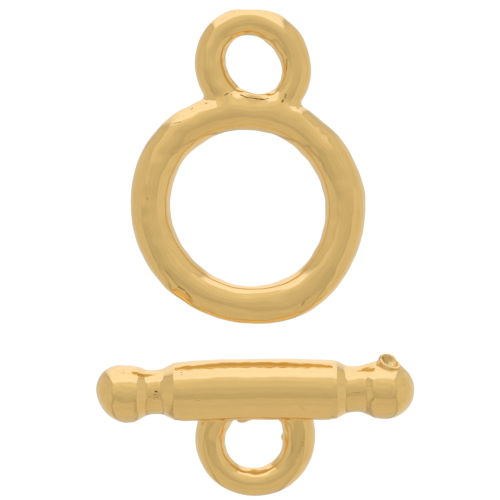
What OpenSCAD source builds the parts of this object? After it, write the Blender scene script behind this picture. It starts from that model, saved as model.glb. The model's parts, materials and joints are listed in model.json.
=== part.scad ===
// Toggle clasp for a necklace or bracelet: a cast ring with an eye, and a cast bar with an eye.
// Both pieces lie on a surface as they do by themselves. Millimetres, +Z up, +Y from bar to ring.

/* [Ring] */
// Outer diameter of the round ring
ring_outer_d = 10.5; // [9:0.1:13]
// Thickness of the ring's round section
ring_wire_d = 1.74; // [1.4:0.02:2.1]
// How far the ring's eye leans from upright, clockwise, in degrees
ring_lean = 2; // [-5:0.5:5]
// How far the ring lies to the left of the bar's middle
ring_shift = 0.29; // [0:0.01:0.8]

/* [Ring eye] */
// Diameter of the reamed hole in the ring's eye
ring_eye_hole_d = 2.54; // [2.2:0.02:2.9]
// Thickness of the ring eye's round section
ring_eye_wire_d = 1.34; // [1.1:0.02:1.6]
// How far the ring's rim reaches into the eye's hole, where the reamer flattens it
ring_eye_overlap = 0.15; // [0.05:0.01:0.25]
// Depth of metal that the reamer takes all round the eye's hole
ream_depth = 0.02; // [0.01:0.01:0.04]
// Inside radius of the metal web in the corner between ring and eye
web_r = 0.25; // [0.15:0.01:0.4]
// Thickness of that web
web_wire_d = 0.8; // [0.5:0.02:1]

/* [Bar] */
// Length of the bar over its two knobs
bar_length = 14.2; // [12:0.1:18]
// Diameter of the bar's body
bar_body_d = 2.67; // [2.3:0.01:3]
// Diameter of the bar at the thinnest point of each neck
bar_neck_d = 1.96; // [1.6:0.02:2.2]
// Radius of the hollow curve that forms each neck
neck_curve_r = 1.8; // [1.5:0.05:2.2]
// Diameter of the round knob on each end
knob_d = 2.57; // [2.3:0.01:2.8]
// How far the bar is turned on the surface, counter-clockwise, in degrees
bar_turn = 0.8; // [-3:0.1:3]

/* [Bar eye] */
// Diameter of the hole in the bar's eye
bar_eye_hole_d = 2.68; // [2.3:0.02:3]
// Thickness of the bar eye's round section
bar_eye_wire_d = 1.34; // [1.1:0.02:1.6]
// Distance from the bar's axis to the middle of its eye
bar_eye_drop = 2.15; // [1.9:0.01:2.6]

/* [Casting marks] */
// Diameter of the broken end of the casting stub on the right knob
stub_d = 1.06; // [0.6:0.02:1.2]
// Diameter of that stub at its root inside the knob
stub_root_d = 1.74; // [1.2:0.02:1.8]
// Height of the stub above the knob
stub_height = 0.16; // [0.08:0.01:0.3]
// Diameter of the cast bead under the bar's body
body_bead_d = 0.56; // [0.3:0.02:0.7]
// Diameter of the cast bead inside the bar's eye
eye_bead_d = 0.6; // [0.3:0.02:0.8]

/* [Layout] */
// Clear space between the ring's rim and the bar's body, as they lie
lay_gap = 1.61; // [0.5:0.01:4]

/* [Hidden] */
$fn = 96;
gold = [0.84, 0.66, 0.36];

ring_r = ring_outer_d / 2;
ring_wire_r = ring_wire_d / 2;
ring_eye_hole_r = ring_eye_hole_d / 2;
ring_eye_wire_r = ring_eye_wire_d / 2;
ring_eye_cast_r = ring_eye_hole_r - ream_depth;
ring_eye_outer_r = ring_eye_cast_r + ring_eye_wire_d;
ring_eye_pitch = ring_r + ring_eye_hole_r - ring_eye_overlap;

bar_body_r = bar_body_d / 2;
knob_r = knob_d / 2;
knob_x = bar_length / 2 - knob_r;
// The neck's curve bites a little into the knob's circle, so that the two meet in a clean line
neck_bite = 0.02;
neck_curve_y = bar_neck_d / 2 + neck_curve_r;
knob_to_curve = neck_curve_r + knob_r - neck_bite;
neck_x = knob_x - sqrt(pow(knob_to_curve, 2) - pow(neck_curve_y, 2));
// Where the neck meets the knob, on the line between the centres of their two circles
neck_end_x = knob_x - (knob_x - neck_x) * (knob_r - neck_bite / 2) / knob_to_curve;

bar_eye_wire_r = bar_eye_wire_d / 2;
bar_eye_mean_r = bar_eye_hole_d / 2 + bar_eye_wire_r;

// The ring lies flat on its thickest part. The bar lies on its thickest part and on the far end of
// its eye, which rolls it about its own axis
ring_z = max(ring_wire_r, ring_eye_wire_r);
bar_z = max(bar_body_r, knob_r);
bar_roll = asin((bar_z - bar_eye_wire_r) / (bar_eye_drop + bar_eye_mean_r));

// Shares of the sizes above, read from where each mark lies on the casting
stub_azimuth = 78;
stub_elevation = 27;
stub_root_depth = knob_r * 0.3;
stub_dish_r = stub_d * 0.9;
stub_dish_depth = stub_height * 0.6;
body_bead_x = -0.19 * bar_body_d;
eye_bead_angle = -2;
// The middle of each cast bead lies this share of its diameter under the metal's surface
bead_sunk_share = 0.15;

// The origin is the middle of the whole layout, so the two reaches along Y set each piece's place
reach_up = ring_eye_pitch * cos(ring_lean) + ring_eye_outer_r;
reach_down = bar_eye_drop * cos(bar_roll) * cos(bar_turn) + bar_eye_wire_r
    + bar_eye_mean_r * sqrt(pow(cos(bar_roll) * cos(bar_turn), 2) + pow(sin(bar_turn), 2));
bar_to_ring = bar_body_r + lay_gap + ring_r;
bar_y = reach_down - (reach_up + bar_to_ring + reach_down) / 2;
ring_y = bar_y + bar_to_ring;

// A closed ring of round section, flat in the XY plane
module round_ring(mean_r, wire_r) {
    rotate_extrude()
        translate([mean_r, 0])
            circle(r = wire_r);
}

// The web in one corner between ring and eye: a short bend of thinner section about the corner's centre
module corner_web() {
    embed = 0.01;
    to_ring = ring_r + web_r - embed;
    to_eye = ring_eye_outer_r + web_r - embed;
    at_ring = acos((pow(to_ring, 2) + pow(ring_eye_pitch, 2) - pow(to_eye, 2))
        / (2 * to_ring * ring_eye_pitch));
    at_eye = acos((pow(to_eye, 2) + pow(ring_eye_pitch, 2) - pow(to_ring, 2))
        / (2 * to_eye * ring_eye_pitch));
    rotate([0, 0, 90 - at_ring])
        translate([to_ring, 0, 0])
            rotate([0, 0, at_ring + at_eye])
                rotate_extrude(angle = 180 - at_ring - at_eye)
                    translate([web_r + web_wire_d / 2, 0])
                        circle(d = web_wire_d);
}

module toggle_ring() {
    color(gold)
        translate([-ring_shift, ring_y, ring_z])
            rotate([0, 0, -ring_lean])
                difference() {
                    union() {
                        round_ring(ring_r - ring_wire_r, ring_wire_r);
                        translate([0, ring_eye_pitch, 0])
                            round_ring(ring_eye_cast_r + ring_eye_wire_r, ring_eye_wire_r);
                        corner_web();
                        mirror([1, 0, 0])
                            corner_web();
                    }
                    translate([0, ring_eye_pitch, 0])
                        cylinder(h = 2 * ring_wire_d, r = ring_eye_hole_r, center = true);
                }
}

// Half of the bar's turned outline, as [radius, distance along the bar]
module half_outline() {
    difference() {
        square([bar_body_r, neck_end_x]);
        translate([neck_curve_y, neck_x])
            circle(r = neck_curve_r);
    }
    intersection() {
        translate([0, knob_x])
            circle(r = knob_r);
        translate([0, knob_x - knob_r])
            square([knob_r, knob_d]);
    }
}

module turned_bar() {
    rotate([0, 90, 0])
        rotate_extrude() {
            half_outline();
            mirror([0, 1])
                half_outline();
        }
}

// The stub that was left where the casting broke off its feed, with a dished end
module casting_stub() {
    translate([knob_x, 0, 0])
        rotate([0, 90 - stub_elevation, stub_azimuth])
            difference() {
                translate([0, 0, knob_r - stub_root_depth])
                    cylinder(h = stub_root_depth + stub_height, d1 = stub_root_d, d2 = stub_d);
                translate([0, 0, knob_r + stub_height + stub_dish_r - stub_dish_depth])
                    sphere(r = stub_dish_r);
            }
}

// The bead under the bar's body, on the side of the eye
module body_bead() {
    translate([body_bead_x, body_bead_d * bead_sunk_share - bar_body_r, 0])
        sphere(d = body_bead_d);
}

// The bead on the inner side of the bar's eye, seen from the eye's middle
module eye_bead() {
    rotate([0, 0, eye_bead_angle])
        translate([bar_eye_hole_d / 2 + eye_bead_d * bead_sunk_share, 0, 0])
            sphere(d = eye_bead_d);
}

module toggle_bar() {
    color(gold)
        translate([0, bar_y, bar_z])
            rotate([0, 0, bar_turn]) {
                rotate([bar_roll, 0, 0]) {
                    turned_bar();
                    body_bead();
                    translate([0, -bar_eye_drop, 0]) {
                        round_ring(bar_eye_mean_r, bar_eye_wire_r);
                        eye_bead();
                    }
                }
                casting_stub();
            }
}

toggle_ring();
toggle_bar();
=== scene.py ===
import json
import math

import bmesh
import bpy
import numpy as np
from mathutils import Matrix, Vector


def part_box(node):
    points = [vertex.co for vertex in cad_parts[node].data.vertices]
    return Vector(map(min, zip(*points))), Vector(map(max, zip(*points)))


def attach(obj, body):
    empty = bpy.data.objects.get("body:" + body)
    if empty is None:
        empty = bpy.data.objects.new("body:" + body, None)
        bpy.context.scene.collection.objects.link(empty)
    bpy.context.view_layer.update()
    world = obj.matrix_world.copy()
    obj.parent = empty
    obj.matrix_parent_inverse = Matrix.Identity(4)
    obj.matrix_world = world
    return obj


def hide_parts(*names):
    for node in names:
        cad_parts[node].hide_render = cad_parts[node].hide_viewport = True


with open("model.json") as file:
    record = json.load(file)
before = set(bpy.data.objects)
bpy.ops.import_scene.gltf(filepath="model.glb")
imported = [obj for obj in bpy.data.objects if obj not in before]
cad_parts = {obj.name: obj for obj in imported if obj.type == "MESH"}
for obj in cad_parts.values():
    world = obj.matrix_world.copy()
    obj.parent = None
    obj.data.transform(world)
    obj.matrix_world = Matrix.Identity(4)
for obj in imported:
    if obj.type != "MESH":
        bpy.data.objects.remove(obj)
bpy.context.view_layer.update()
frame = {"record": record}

# Ring casting
# A round ring and the eye on its rim, cast in one piece of white metal and gold plated. The mould was
# not quite true, so both are slightly oval and wavy, and the top of the eye was ground flat.
MM = 0.001
ring_low, ring_high = (np.array(corner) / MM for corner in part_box("toggle_ring"))
mounts = {mount["name"]: mount for mount in frame["record"]["mounts"]}
# The casting shrank a little, lies a little towards the bar, and rests on the lowest of its bumps
ring_shrink = 0.018
ring_offset_y = -0.042
eye_offset_y = -0.028
ring_lift = 0.05
ring_outer_r = (ring_high[0] - ring_low[0]) / 2
ring_section_r = (ring_high[2] - ring_low[2]) / 2
ring_mean_r = ring_outer_r - ring_section_r - ring_shrink
ring_centre = np.array([ring_low[0] + ring_outer_r, ring_low[1] + ring_outer_r + ring_offset_y,
                        ring_section_r + ring_lift])
# How far the loop and its thickness leave the true round: lobes, height in mm, direction in degrees
ring_path_lobes = ((2, 0.100, -38), (3, 0.015, 41), (4, 0.018, 35))
ring_thick_lobes = ((1, 0.017, -146), (2, 0.040, -8), (3, 0.015, 12), (4, 0.018, 35))
# Bumps and flats of the ring's rim: height in mm, direction in degrees, width in degrees
ring_bumps = ((0.11, 61, 7), (0.055, 299, 15), (-0.035, 250, 13), (0.05, 150, 7), (-0.03, 166, 6),
              (-0.036, 120.5, 3))
# Where the section is fuller than round: the inner shoulder and the outer edge of the lowest stretch,
# and the flank beside the eye. Across the section, 0 degrees is outward and 90 is up
ring_swells = (
    # height in mm, middle across and its widths below and above, middle along, width and squareness
    (0.07, 143, 20, 20, -90, 33, 2.6),
    (0.09, 29, 16, 24, -92, 45, 4),
    (0.08, 58, 24, 24, 65, 12, 2),
)
# To the left and right the inner side is a little square: height in mm, middle and width in degrees
ring_inner_square = (0.03, 143, 16)
ring_ridge_height = 0.03
# The parting line inside the ring: height in mm, width in degrees, and its waves' count, share and start
parting_height = 0.012
parting_width = 7
parting_waves = ((9, 1.0, 1), (23, 0.7, 2))
eye_centre = np.array(mounts["ring_eye"]["pos_m"]) / MM + np.array([0, eye_offset_y, ring_lift])
eye_hole_r = mounts["ring_eye"]["dims"]["r_mm"]
eye_section_r = 0.68
eye_mean_r = eye_hole_r + eye_section_r
eye_path_lobes = ((2, 0.100, -54),)
eye_thick_lobes = ((2, 0.032, 33),)
eye_bumps = ((0.022, 61, 7), (-0.028, 47, 9))
eye_ridge_height = 0.024
corner_blend = 0.34
# The lip of metal between the eye's hole and the ring
lip_at = (0.0, -1.45, 0.0)
lip_half_sizes = (0.85, 0.50, 0.70)
lip_blend = 0.2
eye_hole_lobes = ((2, 0.128, -54),)
eye_hole_shift = (0.035, 0.034)
eye_hole_tight = 0.01
eye_hole_edge = 0.08
# Waves inside the hole: length, height and seed, and how far they reach into the metal
eye_hole_waves = (0.5, 0.009, 21)
eye_hole_wave_reach = 0.16
# Flash inside the hole, and its tongues: how far they stand in, direction and width in radians
flash_depth = 0.09
flash_tongues = ((0.06, 1.05, 0.16), (0.03, 0.25, 0.5))
flash_height = 0.1
flash_section_r = 0.08
flash_blend = 0.03
eye_ground_y = 10.86
eye_ground_lean = 0.03
eye_ground_edge = 0.12
# Unevenness of the whole casting: length and height in mm, seed
ring_waves = ((3.0, 0.016, 3), (1.2, 0.007, 4), (0.6, 0.0012, 7))
ring_mesh_step = 0.06


def smooth_union(a, b, width):
    """The nearer of two distances, with the corner between the two forms filled over that width."""
    share = np.clip(0.5 + 0.5 * (b - a) / width, 0, 1)
    return b * (1 - share) + a * share - width * share * (1 - share)


def smooth_cut(a, b, width):
    """What is left of form a where form b is cut away, with the edge rounded over that width."""
    return -smooth_union(-a, b, width)


def bell(value, middle, width, squareness=2):
    """1 at the middle and near 0 beyond twice the width, steeper at its ends the squarer it is."""
    return np.exp(-np.abs((value - middle) / width) ** squareness)


def bells(value, *rows):
    """The sum of bells, each given by its height, middle and width."""
    return sum(height * bell(value, middle, width) for height, middle, width in rows)


def lobed(turn, radius, lobes):
    """A radius that swells and shrinks round the turn."""
    for count, height, direction in lobes:
        radius = radius + height * np.cos(count * (turn - math.radians(direction)))
    return radius


def bumped(turn, bumps):
    """The height of a row of bumps round the turn, on which the last degree meets the first."""
    total = np.zeros(len(turn))
    for height, direction, width in bumps:
        off = (np.degrees(turn) - direction + 180) % 360 - 180
        total += height * bell(off, 0, width)
    return total


def loop_places(at, mean_r):
    """The turn round a loop, the way outward from its mean radius, and the angle across its section."""
    turn = np.arctan2(at[:, 1], at[:, 0])
    outward = np.hypot(at[:, 0], at[:, 1]) - mean_r
    return turn, outward, np.arctan2(at[:, 2], outward)


def bent_rod(at, mean_r, section_r, path_lobes, thick_lobes):
    """Distance from a round rod that is bent into a loop round the Z axis."""
    turn = np.arctan2(at[:, 1], at[:, 0])
    off = np.hypot(at[:, 0], at[:, 1]) - lobed(turn, mean_r, path_lobes)
    return np.hypot(off, at[:, 2]) - lobed(turn, section_r, thick_lobes)


def cast_waves(at, length, height, seed):
    """Shallow waves of a cast and tumbled surface, of about that length and height."""
    draw = np.random.default_rng(seed)
    total = np.zeros(len(at))
    count = 12
    for _ in range(count):
        direction = draw.normal(size=3)
        direction *= 2 * math.pi / length * draw.uniform(0.6, 1.5) / np.linalg.norm(direction)
        total += np.sin(at @ direction + draw.uniform(0, 2 * math.pi))
    return total * height * math.sqrt(2 / count)


def long_ridges(across, along, height, seed):
    """Faint ridges that run the long way of a rod, where the mould was dressed, both ways in radians."""
    draw = np.random.default_rng(seed)
    total = np.zeros(len(across))
    for count in (4, 6, 9, 12, 15):
        wander = 1.6 * np.sin(draw.integers(1, 4) * along + draw.uniform(0, 2 * math.pi))
        strength = 0.6 + 0.4 * np.sin(draw.integers(1, 4) * along + draw.uniform(0, 2 * math.pi))
        total += strength * np.sin(count * across + wander + draw.uniform(0, 2 * math.pi)) / count
    return total * height


def hump(at, middle, half_sizes):
    """Distance, near enough, from an ellipsoid."""
    scaled = (at - np.array(middle)) / np.array(half_sizes)
    return (np.linalg.norm(scaled, axis=1) - 1) * min(half_sizes)


def ring_loop(at):
    """Distance from the ring without its eye, seen from the ring's centre."""
    turn, outward, across = loop_places(at, ring_mean_r)
    ring = bent_rod(at, ring_mean_r, ring_section_r, ring_path_lobes, ring_thick_lobes)
    ring = ring - bumped(turn, ring_bumps) * np.clip(outward / ring_section_r, 0, 1)
    ring = ring + long_ridges(across, turn, ring_ridge_height, 5)
    across = np.degrees(across)
    for height, middle, below, above, along_middle, along_width, squareness in ring_swells:
        over = bell(across, middle, np.where(across < middle, below, above))
        ring = ring - height * over * bell(np.degrees(turn), along_middle, along_width, squareness)
    height, middle, width = ring_inner_square
    ring = ring - height * bell(np.abs(across), middle, width) * np.cos(turn) ** 4
    ragged = sum(share * np.sin(count * turn + start) for count, share, start in parting_waves)
    return ring - parting_height * bell(np.abs(across), 180, parting_width) * ragged


def eye_loop(at):
    """Distance from the ring's eye without its hole, seen from the eye's centre."""
    turn, outward, across = loop_places(at, eye_mean_r)
    eye = bent_rod(at, eye_mean_r, eye_section_r, eye_path_lobes, eye_thick_lobes)
    eye = eye - bumped(turn, eye_bumps) * np.clip(outward / eye_section_r, 0, 1)
    return eye + long_ridges(across, turn, eye_ridge_height, 6)


def ring_form(at):
    """Distance from the whole casting of ring and eye."""
    from_eye = at - eye_centre
    form = smooth_union(ring_loop(at - ring_centre), eye_loop(from_eye), corner_blend)
    # The eye's hole was cleaned out, which left a thin lip on the side of the ring
    form = smooth_union(form, hump(from_eye, lip_at, lip_half_sizes), lip_blend)
    hole_x = from_eye[:, 0] - eye_hole_shift[0]
    hole_y = from_eye[:, 1] - eye_hole_shift[1]
    turn = np.arctan2(hole_y, hole_x)
    off = np.hypot(hole_x, hole_y)
    hole = off - lobed(turn, eye_hole_r - eye_hole_tight, eye_hole_lobes)
    form = smooth_cut(form, hole, eye_hole_edge)
    # Flash of the mould's parting line inside the eye, thickest at the upper right
    flash_r = eye_hole_r + flash_depth - bells(turn, *flash_tongues)
    flash_off = off - lobed(turn, flash_r, eye_hole_lobes)
    flash = np.hypot(flash_off, from_eye[:, 2] - flash_height) - flash_section_r
    form = smooth_union(form, flash, flash_blend)
    form = form + cast_waves(at, *eye_hole_waves) * bell(hole, 0, eye_hole_wave_reach)
    ground = at[:, 1] + eye_ground_lean * at[:, 0] - eye_ground_y
    form = smooth_cut(form, -ground, eye_ground_edge)
    for length, height, seed in ring_waves:
        form = form + cast_waves(at, length, height, seed)
    return form


def add_loop(bm, centre, mean_r, section_r):
    """Adds a closed round rod, spun about an upright axis through its centre."""
    upright = Matrix.Translation((mean_r, 0, 0)) @ Matrix.Rotation(math.pi / 2, 4, "X")
    profile = bmesh.ops.create_circle(bm, segments=24, radius=section_r, matrix=upright)["verts"]
    edges = list({edge for vert in profile for edge in vert.link_edges})
    before = set(bm.verts) - set(profile)
    bmesh.ops.spin(bm, geom=profile + edges, cent=(0, 0, 0), axis=(0, 0, 1), dvec=(0, 0, 0),
                   angle=2 * math.pi, steps=72, use_merge=True)
    spun = [vert for vert in bm.verts if vert not in before]
    bmesh.ops.translate(bm, verts=spun, vec=centre)


def gradient(form, at):
    """The slope of a form's distance at each point."""
    step = 0.004
    columns = []
    for axis in np.eye(3) * step:
        columns.append((form(at + axis) - form(at - axis)) / (2 * step))
    return np.stack(columns, axis=1)


def smoothed(skin, passes):
    """Evens out the mesh between two steps onto the form."""
    bm = bmesh.new()
    bm.from_mesh(skin)
    for _ in range(passes):
        bmesh.ops.smooth_vert(bm, verts=bm.verts, factor=0.5, use_axis_x=True, use_axis_y=True,
                              use_axis_z=True)
    bm.to_mesh(skin)
    bm.free()


def cast(name, bm, form, mesh_step, to_row):
    """Fuses the shells in bm into one skin, draws it onto the form, and places it in the row frame."""
    bmesh.ops.recalc_face_normals(bm, faces=bm.faces)
    shells = bpy.data.objects.new("shells", bpy.data.meshes.new("shells"))
    bm.to_mesh(shells.data)
    bm.free()
    bpy.context.scene.collection.objects.link(shells)
    fuse = shells.modifiers.new("fuse", "REMESH")
    fuse.mode = "VOXEL"
    fuse.voxel_size = mesh_step
    depsgraph = bpy.context.evaluated_depsgraph_get()
    skin = bpy.data.meshes.new_from_object(shells.evaluated_get(depsgraph), depsgraph=depsgraph)
    bpy.data.objects.remove(shells)

    least_slope = 0.3
    longest_step = 0.12
    flat = np.empty(len(skin.vertices) * 3)
    # Each round steps onto the form and then evens out the mesh; the last one ends on the form
    for steps, passes in ((1, 6), (1, 4), (1, 3), (2, 0)):
        skin.vertices.foreach_get("co", flat)
        at = flat.reshape(-1, 3)
        for _ in range(steps):
            slope = gradient(form, at)
            step = form(at) / np.maximum((slope ** 2).sum(1), least_slope)
            at = at - np.clip(step, -longest_step, longest_step)[:, None] * slope
        skin.vertices.foreach_set("co", at.ravel())
        if passes:
            smoothed(skin, passes)
    slope = gradient(form, at)
    normals = slope / np.linalg.norm(slope, axis=1)[:, None]
    turn = np.array(to_row.to_3x3())
    place = np.array(to_row.translation)
    skin.vertices.foreach_set("co", ((at @ turn.T + place) * MM).ravel())
    skin.polygons.foreach_set("use_smooth", np.ones(len(skin.polygons), bool))
    skin.update()
    skin.normals_split_custom_set_from_vertices((normals @ turn.T).tolist())
    skin.name = name
    piece = bpy.data.objects.new(name, skin)
    bpy.context.scene.collection.objects.link(piece)
    return piece


def give(tree, value, socket):
    """Sets a socket to a fixed value, or links it to the socket that is given."""
    if isinstance(value, (int, float, tuple)):
        socket.default_value = value
    else:
        tree.links.new(value, socket)


def math_node(tree, operation, *inputs, clamp=False):
    """Works on numbers, each of which is a fixed value or a socket."""
    node = tree.nodes.new("ShaderNodeMath")
    node.operation = operation
    node.use_clamp = clamp
    for socket, value in zip(node.inputs, inputs):
        give(tree, value, socket)
    return node.outputs[0]


def vector_node(tree, operation, first, second):
    """Works on two vectors. To scale one, the second is the number that it is scaled by."""
    node = tree.nodes.new("ShaderNodeVectorMath")
    node.operation = operation
    give(tree, first, node.inputs[0])
    give(tree, second, node.inputs["Scale" if operation == "SCALE" else 1])
    return node.outputs["Value" if operation in ("DOT_PRODUCT", "DISTANCE") else "Vector"]


def noise_node(tree, vector, scale, detail):
    """Noise over a vector, as a value and as a colour."""
    node = tree.nodes.new("ShaderNodeTexNoise")
    node.inputs["Scale"].default_value = scale
    node.inputs["Detail"].default_value = detail
    tree.links.new(vector, node.inputs["Vector"])
    return node.outputs


def range_node(tree, value, low, high, to_low, to_high, interpolation="SMOOTHSTEP"):
    """Carries a value over from one range to another, and holds it there beyond its ends."""
    node = tree.nodes.new("ShaderNodeMapRange")
    node.interpolation_type = interpolation
    for socket, number in zip(list(node.inputs)[1:5], (low, high, to_low, to_high)):
        socket.default_value = number
    tree.links.new(value, node.inputs[0])
    return node.outputs[0]


def colour_node(tree, share, first, second):
    """The first colour where share is 0 and the second where it is 1."""
    node = tree.nodes.new("ShaderNodeMix")
    node.data_type = "RGBA"
    give(tree, share, node.inputs[0])
    give(tree, first, node.inputs[6])
    give(tree, second, node.inputs[7])
    return node.outputs[2]


def mark_group():
    """A mask of a pit or scratch: 1 along the line from Start to End, 0 beyond Width, its edge ragged."""
    group = bpy.data.node_groups.new("cast_mark", "ShaderNodeTree")
    for socket_name in ("Vector", "Start", "End"):
        group.interface.new_socket(socket_name, in_out="INPUT", socket_type="NodeSocketVector")
    for socket_name in ("Width", "Ragged"):
        group.interface.new_socket(socket_name, in_out="INPUT", socket_type="NodeSocketFloat")
    group.interface.new_socket("Mask", in_out="OUTPUT", socket_type="NodeSocketFloat")
    given = group.nodes.new("NodeGroupInput").outputs
    grain = noise_node(group, given["Vector"], 9000, 3)["Color"]
    shake = vector_node(group, "SUBTRACT", grain, (0.5, 0.5, 0.5))
    spot = vector_node(group, "ADD", given["Vector"], vector_node(group, "SCALE", shake, given["Ragged"]))
    line = vector_node(group, "SUBTRACT", given["End"], given["Start"])
    reach = vector_node(group, "SUBTRACT", spot, given["Start"])
    along = vector_node(group, "DOT_PRODUCT", reach, line)
    share = math_node(group, "DIVIDE", along, vector_node(group, "DOT_PRODUCT", line, line), clamp=True)
    gap = vector_node(group, "DISTANCE", reach, vector_node(group, "SCALE", line, share))
    near = math_node(group, "SUBTRACT", 1.0, math_node(group, "DIVIDE", gap, given["Width"]), clamp=True)
    mask = math_node(group, "SMOOTH_MIN", math_node(group, "MULTIPLY", near, 2.0), 1.0, 0.3)
    group.links.new(mask, group.nodes.new("NodeGroupOutput").inputs[0])
    return group


def finish_group():
    """Colour, roughness and height of bright gold plate. Its second input is 1 in a pit or scratch and 0
    elsewhere, and there the plate is drawn dark brown, rougher and lower.
    """
    group = bpy.data.node_groups.new("gold_plate", "ShaderNodeTree")
    group.interface.new_socket("Vector", in_out="INPUT", socket_type="NodeSocketVector")
    group.interface.new_socket("Worn", in_out="INPUT", socket_type="NodeSocketFloat")
    group.interface.new_socket("Color", in_out="OUTPUT", socket_type="NodeSocketColor")
    group.interface.new_socket("Roughness", in_out="OUTPUT", socket_type="NodeSocketFloat")
    group.interface.new_socket("Height", in_out="OUTPUT", socket_type="NodeSocketFloat")
    given = group.nodes.new("NodeGroupInput").outputs
    made = group.nodes.new("NodeGroupOutput").inputs
    clouds = noise_node(group, given["Vector"], 400, 3)["Fac"]
    tone = colour_node(group, clouds, (0.96, 0.722, 0.368, 1), (0.94, 0.700, 0.340, 1))
    # Pits and scratches are drawn in this dark brown, and are rougher and lower
    mark_dark = (0.25, 0.105, 0.025, 1)
    group.links.new(colour_node(group, given["Worn"], tone, mark_dark), made["Color"])
    rough = range_node(group, noise_node(group, given["Vector"], 1500, 4)["Fac"], 0.3, 0.7, 0.09, 0.15)
    group.links.new(math_node(group, "MULTIPLY_ADD", given["Worn"], 0.3, rough), made["Roughness"])
    orange_peel = math_node(group, "MULTIPLY", noise_node(group, given["Vector"], 2500, 3)["Fac"], 0.25)
    grain = math_node(group, "MULTIPLY", noise_node(group, given["Vector"], 9000, 3)["Fac"], 0.035)
    height = math_node(group, "SUBTRACT", math_node(group, "ADD", orange_peel, grain), given["Worn"])
    group.links.new(height, made["Height"])
    return group


def gold_finish(name, marks):
    """Bright gold plate over a tumbled casting, with the pits and scratches in the table of marks."""
    material = bpy.data.materials.new(name)
    material.use_nodes = True
    tree = material.node_tree
    shader = tree.nodes["Principled BSDF"]
    shader.inputs["Metallic"].default_value = 1.0
    spot = tree.nodes.new("ShaderNodeTexCoord").outputs["Object"]
    raggedness = 1.3
    mark_depth = None
    for start, end, width, depth in marks:
        mark = tree.nodes.new("ShaderNodeGroup")
        mark.node_tree = cast_mark
        tree.links.new(spot, mark.inputs["Vector"])
        mark.inputs["Start"].default_value = start
        mark.inputs["End"].default_value = end
        mark.inputs["Width"].default_value = width * MM
        mark.inputs["Ragged"].default_value = raggedness * width * MM
        part = math_node(tree, "MULTIPLY", mark.outputs["Mask"], depth)
        mark_depth = part if mark_depth is None else math_node(tree, "MAXIMUM", mark_depth, part)
    plate = tree.nodes.new("ShaderNodeGroup")
    plate.node_tree = gold_plate
    tree.links.new(spot, plate.inputs["Vector"])
    tree.links.new(mark_depth, plate.inputs["Worn"])
    tree.links.new(plate.outputs["Color"], shader.inputs["Base Color"])
    tree.links.new(plate.outputs["Roughness"], shader.inputs["Roughness"])
    bump = tree.nodes.new("ShaderNodeBump")
    bump.inputs["Strength"].default_value = 1.0
    bump.inputs["Distance"].default_value = 0.00001
    tree.links.new(plate.outputs["Height"], bump.inputs["Height"])
    tree.links.new(bump.outputs["Normal"], shader.inputs["Normal"])
    return material


def top_of(form, to_row, x, y):
    """The point of a form's upper face over x and y of the row frame, in metres."""
    from_row = to_row.inverted()
    above_all = 3.2
    step_share = 0.7
    step_count = 60
    z = above_all
    for _ in range(step_count):
        z -= step_share * float(form(np.array([from_row @ Vector((x, y, z))]))[0])
    return (x * MM, y * MM, z * MM)


def placed(form, to_row, table):
    """A table of marks with its ends raised from the plan onto the form's upper face."""
    marks = []
    for start_x, start_y, end_x, end_y, width, depth in table:
        start = top_of(form, to_row, start_x, start_y)
        end = top_of(form, to_row, end_x, end_y)
        marks.append((start, end, width, depth))
    return marks


cast_mark = mark_group()
gold_plate = finish_group()
bm = bmesh.new()
add_loop(bm, ring_centre, ring_mean_r, ring_section_r)
add_loop(bm, eye_centre, eye_mean_r, eye_section_r)
ring_to_row = Matrix.Identity(4)
ring_casting = cast("ring_casting", bm, ring_form, ring_mesh_step, ring_to_row)
ring_marks = (
    # start x, start y, end x, end y and width in mm, depth as a share
    (-3.39, -1.56, -3.13, -1.72, 0.055, 0.6),
    (-3.05, -1.82, -2.83, -2.06, 0.045, 0.6),
    (-3.95, -0.85, -3.42, -1.50, 0.035, 0.4),
    (2.12, -2.38, 2.22, -2.22, 0.055, 0.45),
    (2.30, -2.12, 2.42, -2.02, 0.035, 0.3),
    (-4.80, 2.40, -4.76, 2.33, 0.030, 0.5),
    (-2.82, 6.36, -2.78, 6.41, 0.045, 0.7),
    (-3.60, 5.72, -3.30, 5.78, 0.030, 0.5),
    (-1.32, 6.98, -1.18, 7.06, 0.040, 0.7),
    (-1.02, 7.00, -1.01, 7.04, 0.030, 0.5),
    (1.40, 7.02, 1.36, 6.86, 0.035, 0.7),
    (1.28, 6.76, 1.23, 6.68, 0.050, 0.9),
    (-0.62, 7.00, -0.35, 6.88, 0.040, 0.9),
    (-0.35, 6.88, 0.05, 6.82, 0.035, 0.8),
    (0.05, 6.82, 0.42, 6.79, 0.040, 0.9),
    (0.42, 6.79, 0.62, 6.85, 0.030, 0.6),
    (-1.38, 10.74, -0.90, 10.72, 0.030, 0.6),
    (1.45, 8.60, 1.42, 8.10, 0.040, 0.6),
)
ring_finish = gold_finish("ring_gold_plate", placed(ring_form, ring_to_row, ring_marks))
ring_casting.data.materials.append(ring_finish)
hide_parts("toggle_ring")
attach(ring_casting, "root")

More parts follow.
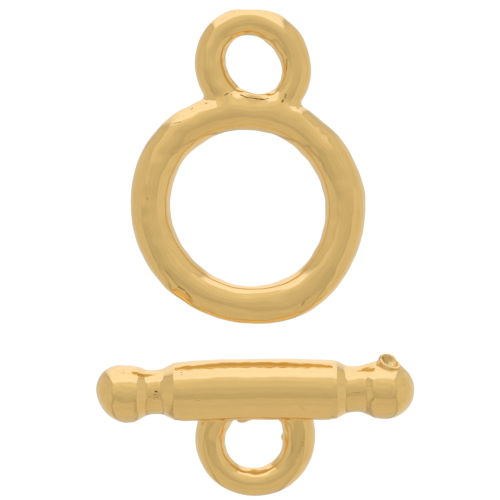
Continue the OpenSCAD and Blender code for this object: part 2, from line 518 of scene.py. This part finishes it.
# Bar casting
# The bar that goes through the ring, with a neck and a round knob at each end, and its own eye. It is
# cast in one piece, is bowed a little, and keeps the stub where it was broken off its feed.
bar_eye_at = np.array(mounts["bar_eye"]["pos_m"]) / MM
bar_eye_axis = Vector(mounts["bar_eye"]["axis"]).normalized()
bar_low, bar_high = (np.array(corner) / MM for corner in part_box("toggle_bar"))
bar_turn = math.radians(0.8)
bar_body_r = (bar_high[2] - bar_low[2]) / 2
bar_eye_drop = 2.15
bar_along = Vector((math.cos(bar_turn), math.sin(bar_turn), 0))
bar_across = bar_eye_axis.cross(bar_along).normalized()
bar_to_row = Matrix((bar_along, bar_across, bar_eye_axis)).transposed().to_4x4()
bar_to_row.translation = Vector(bar_eye_at) + bar_across * bar_eye_drop
bar_to_row.translation.z = bar_body_r
bar_turned_profile = (
    # along the bar, radius, and how far the middle is off the straight axis, in mm
    (-5.79, 1.290, -0.100),
    (-5.41, 1.262, -0.088),
    (-5.20, 1.192, -0.062),
    (-5.00, 1.092, -0.045),
    (-4.86, 1.030, -0.038),
    (-4.73, 0.997, -0.032),
    (-4.60, 0.984, -0.027),
    (-4.33, 0.992, -0.018),
    (-4.20, 1.010, -0.015),
    (-4.06, 1.050, -0.012),
    (-3.79, 1.180, -0.010),
    (-3.57, 1.288, -0.010),
    (-3.25, 1.315, -0.003),
    (-2.70, 1.335, 0.016),
    (-1.40, 1.348, 0.036),
    (0.00, 1.353, 0.045),
    (1.50, 1.352, 0.034),
    (2.94, 1.346, -0.012),
    (3.48, 1.325, -0.030),
    (3.66, 1.290, -0.030),
    (4.02, 1.100, -0.018),
    (4.15, 1.062, -0.014),
    (4.29, 1.041, -0.012),
    (4.56, 1.032, -0.010),
    (4.82, 1.060, -0.020),
    (4.95, 1.096, -0.030),
    (5.10, 1.155, -0.045),
    (5.35, 1.245, -0.070),
    (5.60, 1.255, -0.085),
    (5.87, 1.255, -0.092),
)
profile_softness = 0.03
body_half = 3.4
body_fade = 0.06
# The body's lower flank is fuller than round: height in mm, middle and width across in radians
body_shoulder = (0.10, math.pi - 0.66, 0.28)
# Its upper flank is rippled near the parting line: rate and start along the bar, then height as above
body_ripples = ((7.3, 1.0), (11.9, 2.4))
body_ripple_band = (0.005, 0.5, 0.22)
# The necks are a little deeper on the top and the underside than at the mould's parting line, and
# more so on the side of the eye: middle, width and depth in mm
neck_hollows = ((-4.34, 0.40, 0.085), (4.80, 0.38, 0.10))
hollow_gain = 1.25
hollow_spread = 0.25
left_knob_x = -5.785
left_knob_r = 1.29
left_knob_lean = 0.15
# The left knob swells towards its upper outer side
left_swell = (-6.05, 0.24, 0.0)
left_swell_r = 0.89
left_swell_blend = 0.2
right_knob_x = 5.86
right_knob_r = 1.255
right_end_stretch = 0.03
bar_ridge_height = 0.006
bar_ridge_stretch = 3
# The feed ran into the right knob and the neck beside it, and swells out of both towards its stub
feed_at = (5.95, 0.75, 0.05)
feed_r = 0.61
feed_neck_at = (4.72, 0.16, 0.0)
feed_neck_r = 0.80
feed_sunk = 0.02
feed_flat = 1.35
feed_fork_blend = 0.1
feed_blend = 0.12
stub_azimuth = math.radians(66)
stub_elevation = math.radians(31)
stub_axis = Vector((math.cos(stub_elevation) * math.cos(stub_azimuth),
                    math.cos(stub_elevation) * math.sin(stub_azimuth), math.sin(stub_elevation)))
stub_axis = np.array(bar_to_row.to_3x3().transposed() @ stub_axis)
stub_at = (5.87, 0.81, 0.05)
stub_r = 0.525
stub_height = 0.58
stub_blend = 0.04
stub_dish_r = 0.42
stub_dish_depth = 0.27
stub_lip_at = (5.80, 1.34, 0.28)
stub_lip_half_sizes = (0.22, 0.22, 0.16)
stub_lip_blend = 0.08
# The stub broke off aslant on its outer side, along a plane with this direction and distance
stub_break = (0.80, 0.59, -0.10)
stub_break_at = 5.84
broken_edge = 0.05
bar_eye_section_r = 0.70
bar_eye_mean_r = 1.981
bar_eye_shift = (-0.035, -0.095)
bar_eye_thick_lobes = ((1, 0.078, 59),)
bar_eye_ridge_height = 0.024
# The right leg of the eye stands wider and is thinner, beside the beads: mm, direction, width in radians
bar_eye_spread = ((0.14, 0.62, 0.42), (0.04, -2.35, 0.45), (0.02, -0.6, 0.4))
bar_eye_thinning = ((0.06, 0.60, 0.40), (0.02, -0.5, 0.5))
# Both legs are thicker where they grow out of the body: share, where it sets in, and over what length
bar_eye_root = (0.10, -1.75, 0.28)
bar_eye_blend = 0.06
# Waves on the inner side of the eye: length, height and seed, and how far they reach
bar_eye_waves = (0.55, 0.009, 22)
bar_eye_wave_reach = 0.3
cast_beads = (
    # middle in mm from the bar's middle, and half sizes in mm
    ((-0.58, -1.30, 0.0), (0.27, 0.19, 0.20)),
    ((-0.36, -1.28, 0.0), (0.26, 0.12, 0.15)),
    ((1.36, -2.17, 0.0), (0.20, 0.18, 0.22)),
    ((1.43, -2.38, 0.0), (0.18, 0.22, 0.20)),
    ((1.38, -1.50, 0.0), (0.10, 0.07, 0.12)),
    ((1.42, -1.68, 0.0), (0.10, 0.06, 0.10)),
    ((1.40, -1.86, 0.0), (0.08, 0.06, 0.10)),
)
bead_blend = 0.06
bar_waves = ((2.6, 0.006, 11), (1.0, 0.002, 12), (0.5, 0.0006, 13))
bar_mesh_step = 0.053


def round_cone(at, foot, foot_r, tip, tip_r):
    """Distance from the skin that is drawn tight over two balls."""
    foot = np.array(foot)
    along = np.array(tip) - foot
    length = np.linalg.norm(along)
    from_foot = at - foot
    up = from_foot @ (along / length)
    off = np.sqrt(np.maximum((from_foot ** 2).sum(1) - up ** 2, 1e-9))
    lean = (foot_r - tip_r) / length
    upright = math.sqrt(1 - lean ** 2)
    behind = off * -lean + up * upright
    flank = off * upright + up * lean - foot_r
    foot_ball = np.hypot(up, off) - foot_r
    tip_ball = np.hypot(up - length, off) - tip_r
    return np.where(behind < 0, foot_ball, np.where(behind > upright * length, tip_ball, flank))


stations, radii, middles = np.array(bar_turned_profile).T
profile_x = np.linspace(stations[0], stations[-1], 1200)
soft_share = bell(profile_x[:, None], profile_x, profile_softness)
soft_share /= soft_share.sum(axis=1)[:, None]
profile_r = soft_share @ np.interp(profile_x, stations, radii)
profile_middle = soft_share @ np.interp(profile_x, stations, middles)
profile_slope = np.gradient(profile_r, profile_x)


def turned_rod(at):
    """Distance from the body, the two necks and the two knobs."""
    x = at[:, 0]
    y = at[:, 1] - np.interp(x, profile_x, profile_middle)
    z = at[:, 2]
    off_axis = np.hypot(y, z)
    across = np.arctan2(z, y)
    in_body = 1 / (1 + np.exp((np.abs(x) - body_half) / body_fade))
    ripples = sum(np.sin(rate * x + start) for rate, start in body_ripples)
    relief = bells(across, body_shoulder) + bells(across, body_ripple_band) * ripples
    radius = np.interp(x, profile_x, profile_r) + in_body * relief
    upright = (z / np.maximum(off_axis, 1e-6)) ** 2
    deeper = np.where(y < 0, hollow_gain * upright / (upright + hollow_spread), upright)
    for middle, width, depth in neck_hollows:
        radius = radius - depth * deeper * bell(x, middle, width)
    rod = (off_axis - radius) / np.hypot(1, np.interp(x, profile_x, profile_slope))
    on_bar = np.stack([x, y, z], axis=1)
    leaning = on_bar + np.outer(left_knob_lean * np.minimum(x - left_knob_x, 0), [0, 1, 0])
    left_knob = np.linalg.norm(leaning - [left_knob_x, 0, 0], axis=1) - left_knob_r
    swell = np.linalg.norm(on_bar - left_swell, axis=1) - left_swell_r
    left_knob = smooth_union(left_knob, swell, left_swell_blend)
    right_knob = np.hypot((x - right_knob_x) * (1 - right_end_stretch), off_axis) - right_knob_r
    rod = np.where(x < left_knob_x, left_knob, np.where(x > right_knob_x, right_knob, rod))
    return rod + long_ridges(across, x / bar_ridge_stretch, bar_ridge_height, 8)


def with_stub(form, at):
    """The form with the swelling of the feed and its broken stub, which has a dish in its end."""
    flattened = at * np.array([1, 1, feed_flat])
    knob_middle = (right_knob_x, middles[-1], 0)
    feed = round_cone(flattened, knob_middle, right_knob_r - feed_sunk, feed_at, feed_r)
    fork = round_cone(flattened, feed_neck_at, feed_neck_r, feed_at, feed_r)
    form = smooth_union(form, smooth_union(feed, fork, feed_fork_blend), feed_blend)
    from_stub = at - np.array(stub_at)
    up = from_stub @ stub_axis
    off = np.sqrt(np.maximum((from_stub ** 2).sum(1) - up ** 2, 1e-9))
    stub = np.maximum(off - stub_r, up - stub_height)
    stub = smooth_union(stub, hump(at, stub_lip_at, stub_lip_half_sizes), stub_lip_blend)
    stub = smooth_cut(stub, stub_break_at - at @ np.array(stub_break), broken_edge)
    form = smooth_union(form, np.maximum(stub, -up), stub_blend)
    dish = np.hypot(up - stub_height - stub_dish_r + stub_dish_depth, off) - stub_dish_r
    return smooth_cut(form, dish, broken_edge)


def bar_eye(at):
    """Distance from the eye under the bar's body."""
    from_eye = at + np.array([-bar_eye_shift[0], bar_eye_drop - bar_eye_shift[1], 0])
    turn, outward, across = loop_places(from_eye, bar_eye_mean_r)
    root_share, root_y, root_length = bar_eye_root
    squeeze = 1 - root_share / (1 + np.exp(-(at[:, 1] - root_y) / root_length))
    eye = np.hypot(outward - bells(turn, *bar_eye_spread), from_eye[:, 2] * squeeze)
    eye = eye - lobed(turn, bar_eye_section_r, bar_eye_thick_lobes) + bells(turn, *bar_eye_thinning)
    eye = eye + long_ridges(across, turn, bar_eye_ridge_height, 9)
    return eye + cast_waves(at, *bar_eye_waves) * bell(outward, -bar_eye_section_r, bar_eye_wave_reach)


def bar_form(at):
    """Distance from the whole casting of bar and eye, along and across the bar."""
    form = with_stub(turned_rod(at), at)
    form = smooth_union(form, bar_eye(at), bar_eye_blend)
    for middle, half_sizes in cast_beads:
        form = smooth_union(form, hump(at, middle, half_sizes), bead_blend)
    for length, height, seed in bar_waves:
        form = form + cast_waves(at, length, height, seed)
    return form


bm = bmesh.new()
# Plain shells of nearly the right form, which the skin is fused from: length and radius of the rods
rod_shells = ((7.2, bar_body_r), (11.4, 0.95))
stub_shell_root_r = 0.8
stub_shell_length = 1.2
for length, radius in rod_shells:
    bmesh.ops.create_cone(bm, cap_ends=True, segments=48, radius1=radius, radius2=radius, depth=length,
                          matrix=Matrix.Rotation(math.pi / 2, 4, "Y"))
for x in (left_knob_x, right_knob_x):
    bmesh.ops.create_uvsphere(bm, u_segments=48, v_segments=24, radius=left_knob_r,
                              matrix=Matrix.Translation((x, middles[0], 0)))
add_loop(bm, (0, -bar_eye_drop, 0), bar_eye_mean_r, bar_eye_section_r)
stub_turn = Vector((0, 0, 1)).rotation_difference(Vector(stub_axis)).to_matrix().to_4x4()
bmesh.ops.create_cone(bm, cap_ends=True, segments=32, radius1=stub_shell_root_r, radius2=stub_r,
                      depth=stub_shell_length, matrix=Matrix.Translation(feed_at) @ stub_turn)
bar_casting = cast("bar_casting", bm, bar_form, bar_mesh_step, bar_to_row)
bar_marks = (
    # start x, start y, end x, end y and width in mm, depth as a share
    (-4.41, -6.20, -4.33, -6.21, 0.045, 1.0),
    (-4.43, -6.33, -4.40, -6.34, 0.032, 0.9),
    (-4.50, -6.37, -4.24, -6.54, 0.020, 0.4),
    (-4.24, -6.36, -4.48, -6.56, 0.020, 0.4),
    (4.38, -6.22, 4.52, -6.27, 0.030, 0.35),
    (4.52, -6.27, 4.68, -6.23, 0.030, 0.35),
    (2.08, -8.50, 2.20, -8.50, 0.018, 0.5),
    (2.08, -8.58, 2.22, -8.58, 0.018, 0.6),
    (2.09, -8.67, 2.20, -8.67, 0.018, 0.5),
    (-3.27, -5.28, -3.20, -5.28, 0.018, 0.5),
    (-3.27, -5.36, -3.20, -5.36, 0.018, 0.5),
    (-3.27, -5.44, -3.20, -5.44, 0.018, 0.5),
    (2.02, -6.84, 2.10, -6.90, 0.020, 0.3),
    (2.12, -7.00, 2.20, -6.94, 0.020, 0.3),
    (-2.66, -6.55, -2.40, -6.58, 0.018, 0.3),
    # The last mark darkens, roughens and lowers the inside of the stub's dish
    (5.84, -4.78, 6.02, -4.88, 0.260, 0.30),
)
bar_finish = gold_finish("bar_gold_plate", placed(bar_form, bar_to_row, bar_marks))
bar_casting.data.materials.append(bar_finish)
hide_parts("toggle_bar")
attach(bar_casting, "root")

# Table and light tent
# A plain white table top inside a box of white cloth: a lit wall behind the ring, two side walls, a
# ceiling with a slit where its front flap hangs, and dark seams where the cloths meet.
table_reach = 600
bm = bmesh.new()
bmesh.ops.create_grid(bm, x_segments=1, y_segments=1, size=table_reach * MM)
table_top = bpy.data.objects.new("table_top", bpy.data.meshes.new("table_top"))
bm.to_mesh(table_top.data)
bm.free()
bpy.context.scene.collection.objects.link(table_top)
table_white = bpy.data.materials.new("table_white")
table_white.use_nodes = True
tree = table_white.node_tree
matt = tree.nodes["Principled BSDF"]
matt.inputs["Base Color"].default_value = (0.84, 0.83, 0.82, 1)
matt.inputs["Roughness"].default_value = 1.0
matt.inputs["Specular IOR Level"].default_value = 0.0
glow = tree.nodes.new("ShaderNodeEmission")
glow.inputs["Color"].default_value = (1, 1, 1, 1)
glow.inputs["Strength"].default_value = 1.06
lit = tree.nodes.new("ShaderNodeMixShader")
lit.inputs[0].default_value = 0.93
tree.links.new(matt.outputs[0], lit.inputs[1])
tree.links.new(glow.outputs[0], lit.inputs[2])
tree.links.new(lit.outputs[0], tree.nodes["Material Output"].inputs[0])
table_top.data.materials.append(table_white)
# The pieces lie on clear glass in the middle of the tent, so the metal sees the cloth below them too
table_top.visible_glossy = False

# Where the walls and the slit stand, for a ceiling at height 1
tent_left = 1.2
tent_right = 0.88
tent_back = 1.1
tent_slit = 0.6
# The front flap spreads above and below the height of the pieces
flap_splay = 0.7
flap_low_splay = 0.24
# The lit wall is narrower than the tent, so its upright edges lean inwards
wall_narrow = 0.86
# Below the pieces those edges spread and blur, down to this height
tent_low = -0.85
low_spread = 0.20
low_blur = 8
# Brightness of each cloth. The ceiling's and the flap's change from front to back
ceiling_light = (0.51, 0.88)
ceiling_least = 0.565
flap_light = (0.69, 0.65)
flap_low_share = 0.90
side_light = (0.67, 0.71)
low_share = 1.10
back_light = 1.08
# Half the width of a cloth's edge, and each seam's width and depth
cloth_edge = 0.015
slit_edge = 0.01
slit_seam = (0.045, 0.22)
side_seam_width = 0.045
side_seam_depth = (0.36, 0.16)
back_seam = (0.05, 0.13)

tent = bpy.data.worlds.new("light_tent")
bpy.context.scene.world = tent
tent.use_nodes = True
tree = tent.node_tree
direction = tree.nodes.new("ShaderNodeTexCoord").outputs["Generated"]
away = tree.nodes.new("ShaderNodeSeparateXYZ")
tree.links.new(direction, away.inputs[0])
rightward = away.outputs[0]
backward = away.outputs[1]
up = away.outputs[2]


def faded(tree, base, target, mask):
    """base where mask is 0 and target where it is 1."""
    part = math_node(tree, "SUBTRACT", target, base)
    return math_node(tree, "MULTIPLY_ADD", part, mask, base)


def seam(tree, gap, width, depth):
    """A dark line where gap is 0."""
    near = math_node(tree, "DIVIDE", gap, width)
    square = math_node(tree, "MULTIPLY", near, near)
    dark = math_node(tree, "EXPONENT", math_node(tree, "MULTIPLY", square, -1))
    return math_node(tree, "SUBTRACT", 1.0, math_node(tree, "MULTIPLY", dark, depth))


left_wall = math_node(tree, "DIVIDE", rightward, -tent_left)
right_wall = math_node(tree, "DIVIDE", rightward, tent_right)
side = math_node(tree, "MAXIMUM", left_wall, right_wall)
back = math_node(tree, "DIVIDE", backward, tent_back)
forward = math_node(tree, "MULTIPLY", backward, -1)
front = math_node(tree, "DIVIDE", forward, tent_slit)
splay_up = math_node(tree, "MULTIPLY", math_node(tree, "MAXIMUM", up, 0), 1 - flap_splay * tent_slit)
splay_down = math_node(tree, "MULTIPLY", math_node(tree, "MINIMUM", up, 0), flap_low_splay)
splay = math_node(tree, "ADD", splay_up, splay_down)
flap_side = math_node(tree, "MULTIPLY_ADD", forward, flap_splay, splay)
low_down = range_node(tree, up, tent_low, 0.0, 1, 0, "LINEAR")
narrowed = math_node(tree, "MULTIPLY", up, 1 - wall_narrow)
back_side = math_node(tree, "MULTIPLY_ADD", back, wall_narrow, narrowed)
back_side = math_node(tree, "MULTIPLY_ADD", math_node(tree, "POWER", low_down, 1.5), low_spread, back_side)
# How far inside the lit wall, a side wall and the flap a direction lies
from_top = math_node(tree, "SUBTRACT", back, up)
from_upright = math_node(tree, "SUBTRACT", back_side, side)
to_back = math_node(tree, "MINIMUM", from_top, from_upright)
to_back = math_node(tree, "DIVIDE", to_back, math_node(tree, "MULTIPLY_ADD", low_down, low_blur, 1))
nearest = math_node(tree, "MAXIMUM", math_node(tree, "MAXIMUM", back_side, up), flap_side)
to_side = math_node(tree, "SUBTRACT", side, nearest)
to_front = math_node(tree, "SUBTRACT", front, up)

# How far back a direction meets the ceiling, if it points up at least this much
least_up = 0.05
over = math_node(tree, "DIVIDE", backward, math_node(tree, "MAXIMUM", up, least_up))
ceiling = range_node(tree, over, -tent_slit, tent_back, *ceiling_light, "LINEAR")
ceiling = math_node(tree, "MAXIMUM", ceiling, ceiling_least)
flap = range_node(tree, over, -4.0, -tent_slit, *flap_light, "LINEAR")
flap = math_node(tree, "MULTIPLY", flap, range_node(tree, up, -0.5, 0.0, flap_low_share, 1.0))
past_slit = range_node(tree, to_front, -slit_edge, slit_edge, 0, 1)
past_slit = math_node(tree, "MAXIMUM", past_slit, range_node(tree, up, 0.0, 0.02, 1, 0))
light = faded(tree, ceiling, flap, past_slit)
light = math_node(tree, "MULTIPLY", light, seam(tree, to_front, *slit_seam))
wall = range_node(tree, rightward, -0.2, 0.2, *side_light)
light = faded(tree, light, wall, range_node(tree, to_side, -cloth_edge, cloth_edge, 0, 1))
light = math_node(tree, "MULTIPLY", light, range_node(tree, up, tent_low, 0.0, low_share, 1.0, "LINEAR"))
past_back = range_node(tree, to_back, -cloth_edge, cloth_edge, 0, 1)
light = faded(tree, light, back_light, past_back)
side_depth = range_node(tree, over, -0.8, -0.4, *side_seam_depth)
light = math_node(tree, "MULTIPLY", light, seam(tree, to_side, side_seam_width, side_depth))
light = math_node(tree, "MULTIPLY", light, seam(tree, to_back, *back_seam))
folds = noise_node(tree, direction, 5, 2)["Fac"]
light = math_node(tree, "MULTIPLY", light, range_node(tree, folds, 0.3, 0.7, 0.95, 1.05))
# The front is warmer, the bright table gives the cloth low down a paler glow, and the lit wall is white
to_warm = range_node(tree, backward, -0.7, -0.2, 1, 0)
tint = colour_node(tree, to_warm, (1.0, 0.901, 0.662, 1), (1.0, 0.878, 0.622, 1))
tint = colour_node(tree, low_down, tint, (1.0, 0.955, 0.88, 1))
tint = colour_node(tree, past_back, tint, (0.98, 0.937, 0.927, 1))
cloth = tree.nodes["Background"]
tree.links.new(tint, cloth.inputs["Color"])
tree.links.new(light, cloth.inputs["Strength"])
pale = tree.nodes.new("ShaderNodeBackground")
pale.inputs["Color"].default_value = (0.97, 0.97, 0.97, 1)
shown = tree.nodes.new("ShaderNodeMixShader")
tree.links.new(tree.nodes.new("ShaderNodeLightPath").outputs["Is Camera Ray"], shown.inputs[0])
tree.links.new(cloth.outputs[0], shown.inputs[1])
tree.links.new(pale.outputs[0], shown.inputs[2])
tree.links.new(shown.outputs[0], tree.nodes["World Output"].inputs[0])

key = bpy.data.lights.new("key", "AREA")
key.shape = "RECTANGLE"
key.size = 0.35
key.size_y = 0.25
key.energy = 1.6
key_light = bpy.data.objects.new("key", key)
key_light.location = (0.0, 0.45, 0.30)
key_light.rotation_euler = (Vector((0, 0, 0)) - key_light.location).to_track_quat("-Z", "Y").to_euler()
key_light.visible_glossy = False
bpy.context.scene.collection.objects.link(key_light)

# Camera
# It looks straight down on the two pieces, as the picture does, a little off their middle. The
# picture's scale holds at the height of the ring's and the bar's outlines.
picture_side = 500
pixels_per_mm = 22.286
middle_px = (254.5, 251.7)
outline_height = 1.0
camera_data = bpy.data.cameras.new("camera")
camera_data.lens = 180
camera_data.sensor_width = 36
camera = bpy.data.objects.new("camera", camera_data)
aim_x = (picture_side / 2 - middle_px[0]) / pixels_per_mm
aim_y = (middle_px[1] - picture_side / 2) / pixels_per_mm
picture_width = picture_side / pixels_per_mm
camera_height = picture_width * camera_data.lens / camera_data.sensor_width + outline_height
camera.location = (aim_x * MM, aim_y * MM, camera_height * MM)
camera_data.clip_start = 0.005
bpy.context.scene.collection.objects.link(camera)
bpy.context.scene.camera = camera
bpy.context.scene.view_settings.view_transform = "Standard"
